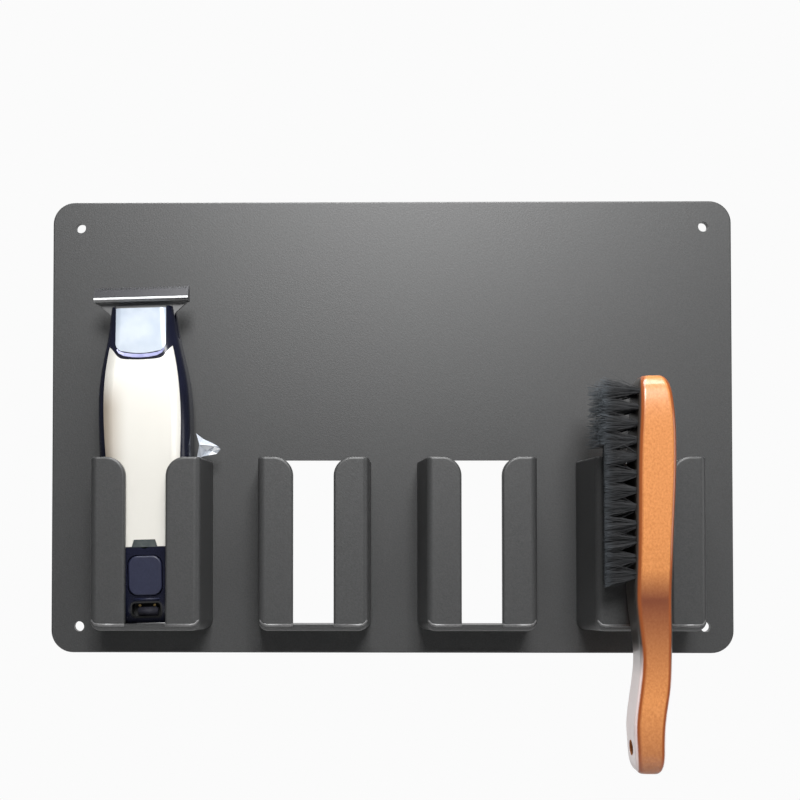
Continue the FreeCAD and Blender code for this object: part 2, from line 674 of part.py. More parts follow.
def make_electrics(place):
    board = box("circuit_board", "dims.board_width", "dims.board_thickness",
                "dims.board_high - dims.board_low", "-dims.board_width / 2", "dims.board_front",
                "dims.board_low")
    switch_base = box("switch_base", "dims.switch_size", "dims.switch_thickness", "dims.switch_size",
                      "-dims.switch_size / 2", "dims.board_front - dims.switch_thickness",
                      "dims.button_middle - dims.switch_size / 2")
    plunger = box("switch_plunger", "dims.plunger_size", "dims.plunger_stroke", "dims.plunger_size",
                  "-dims.plunger_size / 2", "dims.board_front - dims.switch_thickness - dims.plunger_stroke",
                  "dims.button_middle - dims.plunger_size / 2")
    lamp = box("status_led", "dims.lamp_width", "dims.lamp_depth", "dims.lamp_height", "-dims.lamp_width / 2",
               "dims.board_front - dims.lamp_depth",
               "dims.front_plate_low + dims.lamp_rise - dims.lamp_height / 2")
    battery_y = ("dims.board_front + dims.board_thickness + dims.battery_behind_board"
                 " + dims.battery_diameter / 2")
    cell = cylinder("cell_can", "dims.battery_diameter / 2", "dims.battery_length", "0", battery_y,
                    "dims.battery_low")
    cap = cylinder("cell_cap", "dims.battery_cap_radius", "dims.battery_cap_height", "0", battery_y,
                   "dims.battery_low + dims.battery_length")
    subpart(board, "circuit_board", place.multiply(placed(board)))
    subpart(fuse("tact_switch", switch_base, plunger), "tact_switch", place)
    subpart(lamp, "status_led", place.multiply(placed(lamp)))
    subpart(fuse("battery_cell", cell, cap), "battery_cell", place)


def placed(feature):
    """The feature's own placement as it stands, with its expressions dropped so it can be carried on."""
    doc.recompute()
    own = feature.Placement
    for axis in "xyz":
        feature.setExpression(f"Placement.Base.{axis}", None)
    return own


def make_drive(place):
    """Motor can, the rotor that spins in it, and the yoke that the eccentric pin pushes from side to side."""
    axis_y = "dims.motor_back"
    top = "(dims.motor_low + dims.motor_length)"
    can = cylinder("motor_can", "dims.motor_diameter / 2", "dims.motor_length", "0", axis_y, "dims.motor_low")
    nose = cylinder("motor_nose", "3", "1", "0", axis_y, top)
    bore = cylinder("motor_bore", "dims.shaft_radius + dims.shaft_clearance", "9", "0", axis_y,
                    f"{top} - 8")
    subpart(boolean("Cut", "drive_motor", fuse("motor_body", can, nose), bore), "drive_motor", place)

    shaft = cylinder("rotor_shaft", "dims.shaft_radius", "10.5", "0", axis_y, f"{top} - 7.5")
    disc = cylinder("rotor_cam", "dims.cam_radius", "4", "0", axis_y, f"{top} + 2")
    pin = cylinder("rotor_pin", "dims.pin_radius", "6.5", "0", f"{axis_y} + dims.cam_offset",
                   f"{top} + 5.5")
    subpart(fuse("motor_rotor", shaft, disc, pin), "motor_rotor", place)

    reach = "(dims.pin_radius + dims.cam_offset + dims.running_gap)"
    back = "(dims.blade_back + 0.15 + dims.moving_blade_thickness)"
    block = box("yoke_block", "15", f"{axis_y} + {reach} + 1.3 - {back}", "7", "-7.5", back,
                f"{top} + 7")
    window = box("yoke_window", f"2 * ({reach} + dims.stroke)", f"2 * {reach}", "9",
                 f"-({reach} + dims.stroke)", f"{axis_y} - {reach}", f"{top} + 6")
    subpart(boolean("Cut", "blade_yoke", block, window), "blade_yoke", place)


def make_fixed_blade(place):
    """Wedge bar with cut teeth, one piece with the T-plate whose stem is screwed to the bracket."""
    half = SIZE["blade_width"] / 2
    back = SIZE["blade_back"]
    low = SIZE["blade_low"]
    high = SIZE["blade_high"]
    plate_front = back - SIZE["blade_plate"]
    proud = plate_front - SIZE["bar_proud"]
    wedge = ((back, low), (proud + 1, low), (proud, low + 1), (proud, low + 1 + SIZE["bar_land"]),
             (plate_front - 0.8, high), (back, high))
    points = [Vector(-half, y, z) for y, z in wedge]
    bar = Part.Face(Part.makePolygon(points + points[:1])).extrude(Vector(2 * half, 0, 0))
    side = ((14.4, SIZE["neck_cut_height"] + 1), (14.6, low - 7), (16.4, low - 4.6), (18.8, low - 2.6),
            (0.47 * SIZE["blade_width"], low - 0.4), (0.47 * SIZE["blade_width"], low + 1))
    stem = side + tuple((-x, z) for x, z in reversed(side))
    corners = [Vector(x, plate_front, z) for x, z in stem]
    plate = Part.Face(Part.makePolygon(corners + corners[:1])).extrude(Vector(0, SIZE["blade_plate"], 0))
    blade = bar.fuse(plate)
    pitch = SIZE["tooth_pitch"]
    count = int((SIZE["blade_width"] - pitch) / pitch)
    notches = []
    for index in range(count):
        x = (index - (count - 1) / 2) * pitch
        root = Vector(x, plate_front - 8, high - SIZE["tooth_depth"])
        left = Vector(x - 0.3 * pitch, plate_front - 8, high + 0.1)
        right = Vector(x + 0.3 * pitch, plate_front - 8, high + 0.1)
        notches.append(Part.Face(Part.makePolygon([root, left, right, root])).extrude(Vector(0, 20, 0)))
    blade = blade.cut(notches)
    for x, z in blade_screw_places():
        blade = blade.cut(rod(SIZE["blade_screw_shank"] + 0.05, x, z, plate_front - 1, back + 1))
        blade = blade.cut(rod(SIZE["blade_screw_head"] + 0.1, x, z, plate_front - 1,
                              plate_front + SIZE["blade_screw_sink"]))
    subpart(solid("fixed_blade_solid", blade.removeSplitter()), "fixed_blade", place)


def blade_screw_places():
    height = SIZE["neck_cut_height"] + SIZE["blade_screw_rise"]
    return [(-SIZE["blade_screw_x"], height), (SIZE["blade_screw_x"], height)]


def make_moving_parts_of_blade(place):
    body = new_body("moving_blade")
    half = "dims.moving_blade_width / 2"
    wide_low = "(dims.blade_low - 3)"
    tip = "(dims.blade_high - 0.8)"
    stem_low = "(dims.neck_cut_height + 0.5)"
    outline = polygon(body, "moving_blade_outline", "XZ_Plane",
                      (("-7", stem_low), ("7", stem_low), ("7", wide_low), (half, wide_low),
                       (half, tip), (f"-{half}", tip), (f"-{half}", wide_low), ("-7", wide_low)),
                      "-(dims.blade_back + 0.15 + dims.moving_blade_thickness)")
    pad(body, "moving_blade_plate", outline, "dims.moving_blade_thickness")
    body.Placement = place
    subpart(body, "moving_blade")

    plate_back = "dims.blade_back"
    outside = box("bracket_block", "dims.bracket_width", f"dims.bracket_back - {plate_back}",
                  "dims.bracket_height", "-dims.bracket_width / 2", plate_back, "dims.neck_cut_height + 0.5")
    inside = box("bracket_window", "dims.bracket_width - 2 * dims.bracket_wall",
                 f"dims.bracket_back - 0.2 - {plate_back}", "dims.bracket_height + 3",
                 "dims.bracket_wall - dims.bracket_width / 2", f"{plate_back} - 1", "dims.neck_cut_height - 1")
    holes = []
    for index, (x, z) in enumerate(blade_screw_places(), start=1):
        hole = rod(SIZE["blade_screw_shank"], x, z, SIZE["blade_back"] - 1, SIZE["blade_back"] + 6.7)
        holes.append(solid(f"bracket_hole_{index}", hole))
    tools = fuse("bracket_cuts", inside, *holes)
    subpart(boolean("Cut", "blade_bracket", outside, tools), "blade_bracket", place)

    plate_front = SIZE["blade_back"] - SIZE["blade_plate"]
    screws = []
    for x, z in blade_screw_places():
        sink = plate_front + SIZE["blade_screw_sink"]
        head = rod(SIZE["blade_screw_head"], x, z, plate_front, sink)
        shank = rod(SIZE["blade_screw_shank"], x, z, sink, SIZE["blade_back"] + 6.7)
        screws.append(head.fuse(shank).removeSplitter())
    subpart(solid("blade_screws_solid", Part.makeCompound(screws)), "blade_screws", place)

    wire_y = SIZE["blade_back"] + 0.15 + SIZE["moving_blade_thickness"] + SIZE["running_gap"] + 0.5
    foot = SIZE["neck_cut_height"] + SIZE["bracket_height"] + 0.5
    crown = foot + 3.5
    half = SIZE["blade_screw_x"]
    bend = SIZE["spring_bend"]
    corner = bend * (1 - math.sqrt(0.5))
    left_leg = Part.LineSegment(Vector(-half, wire_y, foot), Vector(-half, wire_y, crown - bend)).toShape()
    left_bend = Part.Arc(Vector(-half, wire_y, crown - bend), Vector(corner - half, wire_y, crown - corner),
                         Vector(bend - half, wire_y, crown)).toShape()
    across = Part.LineSegment(Vector(bend - half, wire_y, crown), Vector(half - bend, wire_y, crown)).toShape()
    right_bend = Part.Arc(Vector(half - bend, wire_y, crown), Vector(half - corner, wire_y, crown - corner),
                          Vector(half, wire_y, crown - bend)).toShape()
    right_leg = Part.LineSegment(Vector(half, wire_y, crown - bend), Vector(half, wire_y, foot)).toShape()
    path = Part.Wire([left_leg, left_bend, across, right_bend, right_leg])
    section = Part.Wire([Part.makeCircle(SIZE["spring_wire"], Vector(-half, wire_y, foot), Vector(0, 0, 1))])
    subpart(solid("tension_spring_solid", path.makePipeShell([section], True, True)), "tension_spring", place)


def make_film_tab(place):
    """Scrap of clear film caught between the trimmer and the pocket's right wall."""
    side = SIZE["casing_width"] / 2
    low = SIZE["film_low"]
    outline = ((side + 0.6, low + 18), (side + 10.8, low + 11.8), (side + 11.6, low + 10.6), (side + 9.9, low + 8.2),
               (side + 2.6, low + 6.8), (side + 2.2, low), (side + 1.2, low + 0.5), (side + 1.0, low + 7))
    corners = [Vector(x, 0.6, z) for x, z in outline]
    tab = Part.Face(Part.makePolygon(corners + corners[:1])).extrude(Vector(0, 0.5, 0))
    subpart(solid("film_tab_solid", tab), "film_tab", place)


# ---------------------------------------------------------------- brush
# Its own frame: +Z from the hanging end to the head, X across its thickness, Y across its width.

# share of the length, centre shift across the thickness, share of the thickness, head 1 or grip 0, share of the width
BRUSH_PROFILE = (
    (0.000, -4.6, 0.54, 0.0, 0.62),
    (0.012, -4.7, 0.72, 0.0, 0.86),
    (0.064, -4.8, 0.85, 0.0, 1.04),
    (0.114, -4.9, 0.89, 0.0, 1.06),
    (0.163, -4.0, 0.91, 0.0, 1.03),
    (0.213, -2.7, 0.92, 0.0, 1.00),
    (0.287, -1.8, 0.89, 0.0, 0.97),
    (0.362, -2.3, 0.97, 0.0, 1.00),
    (0.436, -3.1, 1.04, 0.3, 1.00),
    (0.520, -3.0, 1.05, 0.86, 1.00),
    (0.586, -2.7, 1.06, 1.0, 1.00),
    (0.660, -2.3, 1.09, 1.0, 1.00),
    (0.835, -1.6, 1.11, 1.0, 1.00),
    (0.935, -1.7, 0.99, 1.0, 0.95),
    (0.980, -2.1, 0.85, 1.0, 0.78),
    (1.000, -2.2, 0.58, 1.0, 0.48),
)

BRUSH_EDGE = 2.8


def make_brush():
    wires = []
    grip = SIZE["brush_grip_width"]
    head = SIZE["brush_head_width"]
    for along, shift, thick, headness, wide in BRUSH_PROFILE:
        half_x = SIZE["brush_thickness"] / 2 * thick
        half_y = (grip + (head - grip) * headness) / 2 * wide
        radius = min(BRUSH_EDGE, 0.6 * half_x, 0.6 * half_y)
        wires.append(rounded_wire(shift, 0, SIZE["brush_length"] * along, half_x, half_y, radius))
    handle = Part.makeLoft(wires, True, False)
    hole = Part.makeCylinder(SIZE["brush_hole"] / 2, 40, Vector(-20, 0, 0.06 * SIZE["brush_length"]),
                             Vector(1, 0, 0))
    handle = handle.cut(hole)

    yaw = Rotation(Vector(0, 0, 1), -SIZE["brush_yaw"])
    middle_x = SIZE["pocket_shift"] + 1.5 * SIZE["pocket_pitch"] - SIZE["brush_off_middle"]
    middle_y = -SIZE["pocket_depth"] - SIZE["brush_floor_gap"] - head / 2
    place = Placement(Vector(middle_x, middle_y, -SIZE["brush_low_drop"]), yaw)
    subpart(solid("brush_handle_solid", handle), "brush_handle", place)

    root = -0.60 * SIZE["brush_thickness"]
    front = -SIZE["bristle_depth"] / 2
    block = Part.makeBox(SIZE["bristle_length"], SIZE["bristle_depth"],
                         SIZE["bristle_block_high"] - SIZE["bristle_block_low"],
                         Vector(root - SIZE["bristle_length"], front, SIZE["bristle_block_low"]))
    subpart(solid("bristle_tufts_solid", block.cut(handle)), "bristle_tufts", place)


# ---------------------------------------------------------------- assembly, checks and files

make_panel()
for pocket_number in range(1, 5):
    make_pocket(pocket_number)
trimmer = trimmer_place()
make_casing(trimmer)
make_electrics(trimmer)
make_drive(trimmer)
make_fixed_blade(trimmer)
make_moving_parts_of_blade(trimmer)
make_film_tab(trimmer)
make_brush()

doc.recompute()
for item in doc.Objects:
    if "Invalid" in item.State or "Error" in item.State:
        raise RuntimeError(f"{item.Name} failed: {item.State}")
for item in subparts:
    if item.Shape.isNull() or not item.Shape.isValid():
        raise RuntimeError(f"{item.Label} has no valid shape")

os.makedirs("parts", exist_ok=True)
for item in subparts:
    item.Shape.exportStep(f"parts/{item.Label}.step")
    print(item.Label, len(item.Shape.Solids), round(item.Shape.Volume, 1))
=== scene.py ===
import math
import random

import bmesh
import bpy
from mathutils import Matrix, Vector


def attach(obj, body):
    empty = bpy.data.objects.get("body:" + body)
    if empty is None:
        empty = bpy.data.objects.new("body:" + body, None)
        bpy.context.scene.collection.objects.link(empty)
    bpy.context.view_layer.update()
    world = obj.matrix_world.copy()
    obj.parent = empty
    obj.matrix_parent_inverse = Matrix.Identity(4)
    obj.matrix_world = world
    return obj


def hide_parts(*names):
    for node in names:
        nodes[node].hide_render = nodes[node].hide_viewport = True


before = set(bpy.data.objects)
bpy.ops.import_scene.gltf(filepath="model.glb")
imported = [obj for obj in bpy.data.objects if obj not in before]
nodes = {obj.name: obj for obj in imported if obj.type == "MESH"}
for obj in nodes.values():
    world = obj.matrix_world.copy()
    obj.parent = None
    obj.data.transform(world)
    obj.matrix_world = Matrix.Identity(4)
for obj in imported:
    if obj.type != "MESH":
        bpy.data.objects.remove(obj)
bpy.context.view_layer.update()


# ---------------------------------------------------------------- camera, floor and light
# A studio set: the rack hangs free in front of a bright white backdrop, over a pale floor,
# and is seen straight on from a little left of its middle. The light comes from above and in front.

bpy.ops.object.select_all(action="DESELECT")

camera = bpy.data.objects.new("camera", bpy.data.cameras.new("camera"))
bpy.context.scene.collection.objects.link(camera)
camera.data.lens = 47.4
camera.data.shift_x = 0.085
camera.data.shift_y = 0.147
camera.location = (-0.0245, -0.5289, -0.0558)
camera.rotation_euler = (math.pi / 2 + 0.0193, -0.0003, 0.0098)
bpy.context.scene.camera = camera
bpy.context.scene.view_settings.view_transform = "Standard"


def new_material(name, roughness=0.5, metallic=0.0):
    """A material with its node tree, and the Principled shader in it."""
    material = bpy.data.materials.new(name)
    material.use_nodes = True
    shader = material.node_tree.nodes["Principled BSDF"]
    shader.inputs["Roughness"].default_value = roughness
    shader.inputs["Metallic"].default_value = metallic
    return material, shader


floor_paint, floor_shader = new_material("studio_floor", roughness=0.8)
floor_shader.inputs["Base Color"].default_value = (0.6, 0.6, 0.6, 1)
bpy.ops.mesh.primitive_circle_add(vertices=96, radius=0.95, fill_type="NGON", location=(0, 0, -0.45))
floor = bpy.context.object
floor.name = "studio_floor"
floor.data.materials.append(floor_paint)

glow, glow_shader = new_material("backdrop_glow")
glow_shader.inputs["Base Color"].default_value = (0, 0, 0, 1)
glow_shader.inputs["Emission Color"].default_value = (1, 1, 1, 1)
glow_shader.inputs["Emission Strength"].default_value = 0.965
glow_shader.inputs["Specular IOR Level"].default_value = 0.0
bpy.ops.mesh.primitive_plane_add(size=3.2, location=(0, 1.3, 0.2), rotation=(math.pi / 2, 0, 0))
backdrop = bpy.context.object
backdrop.name = "backdrop"
backdrop.data.materials.append(glow)

world = bpy.data.worlds.new("studio")
world.use_nodes = True
world.node_tree.nodes["Background"].inputs["Color"].default_value = (0.95, 0.97, 1.0, 1)
world.node_tree.nodes["Background"].inputs["Strength"].default_value = 0.09
bpy.context.scene.world = world


def soft_box(name, place, size, power, aim=(0, 0, 0)):
    """Square area lamp aimed at a point of the rack."""
    lamp = bpy.data.lights.new(name, "AREA")
    lamp.size = size
    lamp.energy = power
    holder = bpy.data.objects.new(name, lamp)
    holder.location = place
    holder.rotation_euler = (Vector(aim) - Vector(place)).to_track_quat("-Z", "Y").to_euler()
    bpy.context.scene.collection.objects.link(holder)


soft_box("top_box", (0.05, -0.30, 0.72), 0.5, 10, aim=(0, -0.02, 0.05))
soft_box("front_box", (0.10, -1.3, 0.74), 0.5, 18)
soft_box("right_box", (0.55, -0.22, 0.00), 0.2, 0.4)
soft_box("back_box", (-0.3, 0.9, 1.2), 0.6, 9)


# ---------------------------------------------------------------- rack plastic
# One graphite moulding: satin plastic with a fine even spark texture from the mould. The panel and
# the four pockets are the CAD solids themselves.

def ramped(tree, value, *stops):
    """Colour ramp driven by value, with (position, colour) stops; gives its colour."""
    node = tree.nodes.new("ShaderNodeValToRGB")
    elements = node.color_ramp.elements
    for index, (position, tint) in enumerate(stops):
        element = elements[index] if index < 2 else elements.new(position)
        element.position = position
        element.color = (*tint, 1)
    tree.links.new(value, node.inputs["Fac"])
    return node.outputs["Color"]


def raised(tree, shader, height, strength, distance):
    """Fine relief on the shader, raised by height."""
    bump = tree.nodes.new("ShaderNodeBump")
    bump.inputs["Strength"].default_value = strength
    bump.inputs["Distance"].default_value = distance
    tree.links.new(height, bump.inputs["Height"])
    tree.links.new(bump.outputs["Normal"], shader.inputs["Normal"])


def grained(name, dark, light, scale, roughness, metallic=0.0, relief=0.0):
    """A material whose colour wanders between two tints, with a fine relief if one is asked for."""
    material, shader = new_material(name, roughness, metallic)
    tree = material.node_tree
    place = tree.nodes.new("ShaderNodeTexCoord")
    noise = tree.nodes.new("ShaderNodeTexNoise")
    noise.inputs["Scale"].default_value = scale
    noise.inputs["Detail"].default_value = 3.0
    tree.links.new(place.outputs["Object"], noise.inputs["Vector"])
    tree.links.new(ramped(tree, noise.outputs["Fac"], (0.3, dark), (0.7, light)), shader.inputs["Base Color"])
    if relief:
        raised(tree, shader, noise.outputs["Fac"], relief, 0.0002)
    return material, shader


def coat(material, *names):
    """Gives CAD nodes their material."""
    for name in names:
        nodes[name].data.materials.clear()
        nodes[name].data.materials.append(material)


rack_plastic, rack_shader = grained("rack_plastic", (0.032, 0.0325, 0.0325), (0.046, 0.0465, 0.047),
                                    1400, 0.46, relief=0.22)
rack_shader.inputs["Specular IOR Level"].default_value = 0.6
coat(rack_plastic, "rack_panel", "pocket_1", "pocket_2", "pocket_3", "pocket_4")


# ---------------------------------------------------------------- pocket sills
# The floor of each pocket stands a little proud of the lips above it. Its rounded upper edge runs
# along the foot of both lips and turns up round the lower corners. Same moulding as the rack, but
# with a smoother surface and a much lighter colour: a painted highlight along the edge.

# painted highlight: the sill is coloured about three times lighter than the rack plastic
sill_painted_highlight, _ = grained("sill_painted_highlight", (0.10, 0.10, 0.10), (0.14, 0.14, 0.14), 900, 0.3)
pocket_centres = (-0.1171, -0.0381, 0.0409, 0.1199)
sill_path = ((0.0095, -0.09665), (0.0215, -0.09665), (0.0235, -0.0961), (0.0247, -0.0946), (0.0251, -0.0926))
sill_front = -0.0357
corner_step_back = 0.0005
sill_radius = 0.0008
end_taper = 0.25
sill_sides = 10
for number, centre in enumerate(pocket_centres, start=1):
    mesh = bpy.data.meshes.new(f"sill_{number}")
    shape = bmesh.new()
    for side in (-1, 1):
        rings = []
        for step, (across, height) in enumerate(sill_path):
            depth = sill_front + corner_step_back * max(0, step - 1)
            thick = sill_radius * (end_taper if step == len(sill_path) - 1 else 1)
            before = Vector(sill_path[max(step - 1, 0)])
            after = Vector(sill_path[min(step + 1, len(sill_path) - 1)])
            along = (after - before).normalized()
            outward = Vector((-along.y, along.x))
            ring = []
            for turn in range(sill_sides):
                angle = 2 * math.pi * turn / sill_sides
                off = outward * (thick * math.cos(angle))
                ring.append(shape.verts.new((centre + side * (across + off.x), depth - thick * math.sin(angle),
                                             height + off.y)))
            rings.append(ring)
        for ring, following in zip(rings, rings[1:]):
            for turn in range(sill_sides):
                next_turn = (turn + 1) % sill_sides
                shape.faces.new((ring[turn], ring[next_turn], following[next_turn], following[turn]))
        shape.faces.new(rings[0])
        shape.faces.new(rings[-1])
    bmesh.ops.recalc_face_normals(shape, faces=shape.faces)
    shape.to_mesh(mesh)
    shape.free()
    mesh.shade_smooth()
    sill = bpy.data.objects.new(f"sill_{number}", mesh)
    bpy.context.scene.collection.objects.link(sill)
    sill.data.materials.append(sill_painted_highlight)
    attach(sill, "rack")


# ---------------------------------------------------------------- trimmer casing
# Two dark navy shells, injection moulded and polished to a deep gloss, joined on the middle plane.

casing_plastic, casing_shader = grained("casing_plastic", (0.005, 0.006, 0.015), (0.008, 0.009, 0.021),
                                        90, 0.24)
casing_shader.inputs["Specular IOR Level"].default_value = 0.35
casing_shader.inputs["Coat Weight"].default_value = 0.1
casing_shader.inputs["Coat Roughness"].default_value = 0.1
coat(casing_plastic, "trimmer_front_frame", "trimmer_rear_shell")


# ---------------------------------------------------------------- front plate
# Champagne anodised cover, brushed along its length. Near white down the middle and at the top; towards
# the lower left edge darkened to a warm beige as painted shade, where the rounded edge turns from the light.

trimmer_foot = Vector((-0.1171, -0.0174, -0.0970))
trimmer_place = Matrix.Translation(trimmer_foot) @ Matrix.Rotation(-math.radians(1.5), 4, "Y")

def rescaled(tree, value, start, end, interpolation="LINEAR"):
    """Carries value from start..end to 0..1."""
    node = tree.nodes.new("ShaderNodeMapRange")
    node.interpolation_type = interpolation
    node.inputs["From Min"].default_value = start
    node.inputs["From Max"].default_value = end
    tree.links.new(value, node.inputs["Value"])
    return node.outputs["Result"]


def blended(tree, share, first, second):
    """Mixes two colours by share; each is a tint or the socket of another node."""
    node = tree.nodes.new("ShaderNodeMix")
    node.data_type = "RGBA"
    tree.links.new(share, node.inputs["Factor"])
    for socket, tint in (("A", first), ("B", second)):
        if isinstance(tint, tuple):
            node.inputs[socket].default_value = (*tint, 1)
        else:
            tree.links.new(tint, node.inputs[socket])
    return node.outputs["Result"]


def axis_values(tree, vector):
    """The X, Y and Z of a vector."""
    node = tree.nodes.new("ShaderNodeSeparateXYZ")
    tree.links.new(vector, node.inputs["Vector"])
    return node.outputs


def stretched_noise(tree, place, scale, detail=2.0):
    """Noise stretched by its own scale along each axis."""
    mapping = tree.nodes.new("ShaderNodeMapping")
    mapping.inputs["Scale"].default_value = scale
    tree.links.new(place.outputs["Object"], mapping.inputs["Vector"])
    noise = tree.nodes.new("ShaderNodeTexNoise")
    noise.inputs["Scale"].default_value = 1.0
    noise.inputs["Detail"].default_value = detail
    tree.links.new(mapping.outputs["Vector"], noise.inputs["Vector"])
    return noise.outputs["Fac"]


cover_metal, cover_shader = new_material("cover_metal", roughness=0.36, metallic=0.35)
tree = cover_metal.node_tree
place = tree.nodes.new("ShaderNodeTexCoord")
plate_middle = -0.1192
spot = axis_values(tree, place.outputs["Object"])
edge = rescaled(tree, spot["X"], plate_middle - 0.006, plate_middle - 0.020, "SMOOTHSTEP")
low = rescaled(tree, spot["Z"], 0.024, 0.004, "SMOOTHSTEP")
# painted shade: this share darkens the lower left edge of the plate to beige
painted_shade_share = tree.nodes.new("ShaderNodeMath")
painted_shade_share.operation = "MULTIPLY"
tree.links.new(edge, painted_shade_share.inputs[0])
tree.links.new(low, painted_shade_share.inputs[1])
champagne_and_shade = blended(tree, painted_shade_share.outputs["Value"], (0.82, 0.80, 0.74), (0.40, 0.335, 0.265))
tree.links.new(champagne_and_shade, cover_shader.inputs["Base Color"])
raised(tree, cover_shader, stretched_noise(tree, place, (9000, 9000, 120)), 0.12, 0.0001)
coat(cover_metal, "front_plate")


# ---------------------------------------------------------------- thumb plate
# A bright plate that still carries its pale blue protective film, so it looks milky white and
# faintly uneven.

thumb_metal, thumb_shader = new_material("thumb_metal", roughness=0.3, metallic=0.1)
tree = thumb_metal.node_tree
place = tree.nodes.new("ShaderNodeTexCoord")
wave = tree.nodes.new("ShaderNodeTexNoise")
wave.inputs["Scale"].default_value = 90
tree.links.new(place.outputs["Object"], wave.inputs["Vector"])
milk = ramped(tree, wave.outputs["Fac"], (0.35, (0.40, 0.455, 0.53)), (0.65, (0.49, 0.54, 0.60)))
tree.links.new(milk, thumb_shader.inputs["Base Color"])
raised(tree, thumb_shader, wave.outputs["Fac"], 0.15, 0.0008)
coat(thumb_metal, "thumb_plate")


# ---------------------------------------------------------------- band below the thumb plate
# A bevelled strip of the front frame between the two plates, satin, coloured light lavender as a painted
# highlight on the navy bevel.

# painted highlight: the lavender white colour stands in for light on the navy frame bevel
band_painted_highlight, _ = grained("band_painted_highlight", (0.24, 0.25, 0.46), (0.40, 0.41, 0.62), 160, 0.3)
band_front = -0.01338
band_back = -0.01300
# half of the strip: outer edge across and up, inner edge across and up
band_half = (
    (0.0, 0.1270, 0.0, 0.1287), (0.0040, 0.1272, 0.0040, 0.1289), (0.0080, 0.1279, 0.0080, 0.1295),
    (0.0104, 0.1292, 0.0102, 0.1303), (0.0113, 0.1306, 0.0113, 0.1314),
)
band_left = [(-outer, outer_up, -inner, inner_up) for outer, outer_up, inner, inner_up in band_half[:0:-1]]
mesh = bpy.data.meshes.new("thumb_band")
shape = bmesh.new()
lower = []
upper = []
for outer, outer_up, inner, inner_up in (*band_left, *band_half):
    lower.append(shape.verts.new((outer, band_front, outer_up)))
    upper.append(shape.verts.new((inner, band_back, inner_up)))
for index in range(len(lower) - 1):
    shape.faces.new((lower[index], lower[index + 1], upper[index + 1], upper[index]))
shape.transform(trimmer_place)
bmesh.ops.recalc_face_normals(shape, faces=shape.faces)
shape.to_mesh(mesh)
shape.free()
thumb_band = bpy.data.objects.new("thumb_band", mesh)
bpy.context.scene.collection.objects.link(thumb_band)
thickness = thumb_band.modifiers.new("thickness", "SOLIDIFY")
thickness.thickness = 0.0003
thickness.offset = 0
thumb_band.data.materials.append(band_painted_highlight)
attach(thumb_band, "trimmer")


# ---------------------------------------------------------------- blades
# Ground steel: the face of the wide bar is a fine dark grind, brighter below the bar. Along its foot
# runs one thin land coloured near white, a painted highlight that shows as a thin white line.

blade_steel, blade_shader = grained("blade_steel", (0.034, 0.034, 0.038), (0.052, 0.052, 0.056), 2400, 0.38,
                                    metallic=0.5)
tree = blade_steel.node_tree
place = tree.nodes.new("ShaderNodeTexCoord")
below_bar = rescaled(tree, axis_values(tree, place.outputs["Object"])["Z"], 0.0590, 0.0582)
dark_grind = blade_shader.inputs["Base Color"].links[0].from_socket
ground = blended(tree, below_bar, dark_grind, (0.20, 0.20, 0.20))
tree.links.new(ground, blade_shader.inputs["Base Color"])
coat(blade_steel, "fixed_blade", "moving_blade")

# painted highlight: near-white, non-metal colour for the glint along the blade's foot
land_painted_glint, _ = grained("land_painted_glint", (0.86, 0.87, 0.88), (0.92, 0.93, 0.94), 900, 0.2)


def rounded_block(name, size, centre, edge_radius, material, segments=3):
    """A block with rounded edges in the trimmer's own frame, riding on the trimmer."""
    bpy.ops.mesh.primitive_cube_add(size=1)
    block = bpy.context.object
    block.name = name
    form = bmesh.new()
    form.from_mesh(block.data)
    form.transform(Matrix.Diagonal((*size, 1)))
    bmesh.ops.bevel(form, geom=form.edges[:], offset=edge_radius, segments=segments, affect="EDGES")
    form.transform(trimmer_place @ Matrix.Translation(centre))
    form.to_mesh(block.data)
    form.free()
    block.data.materials.append(material)
    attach(block, "trimmer")
    return block


rounded_block("painted_glint_land", (0.0454, 0.0003, 0.0010), (0, -0.00962, 0.1563), 0.00012, land_painted_glint,
              segments=2)


# ---------------------------------------------------------------- lamp lens, button and socket
# The lens is clear with dark depth behind it. The button is satin navy rubberised plastic. The
# charging socket is a black moulding with two plated contacts and a block inside.

lens_plastic, lens_shader = grained("lens_plastic", (0.045, 0.055, 0.058), (0.090, 0.100, 0.098), 300, 0.08)
lens_shader.inputs["Coat Weight"].default_value = 1.0
lens_shader.inputs["Coat Roughness"].default_value = 0.03
coat(lens_plastic, "led_lens", "status_led")

button_plastic, _ = grained("button_plastic", (0.009, 0.011, 0.032), (0.014, 0.017, 0.042), 900, 0.45,
                            relief=0.1)
coat(button_plastic, "power_button")

socket_plastic, _ = grained("socket_plastic", (0.008, 0.008, 0.009), (0.013, 0.013, 0.014), 500, 0.5)
coat(socket_plastic, "charge_socket", "tact_switch", "blade_bracket")

contact_brass, _ = grained("contact_brass", (0.70, 0.46, 0.16), (0.88, 0.64, 0.28), 800, 0.25, metallic=1.0)
coat(contact_brass, "contact_pins")

plug_block, _ = grained("plug_block", (0.016, 0.016, 0.026), (0.024, 0.024, 0.036), 700, 0.7)
tongue = rounded_block("socket_tongue", (0.0094, 0.0046, 0.0040), (0.0003, -0.0086, 0.0064), 0.0005,
                       plug_block)
tongue.data.shade_smooth()
ledge = rounded_block("foot_ledge", (0.0125, 0.0010, 0.0011), (0.0004, -0.01355, 0.0122), 0.0004,
                      button_plastic)
ledge.data.shade_smooth()


# ---------------------------------------------------------------- pieces inside the trimmer
# Board, cell, motor, yoke and fasteners: they show only when the casing is open.

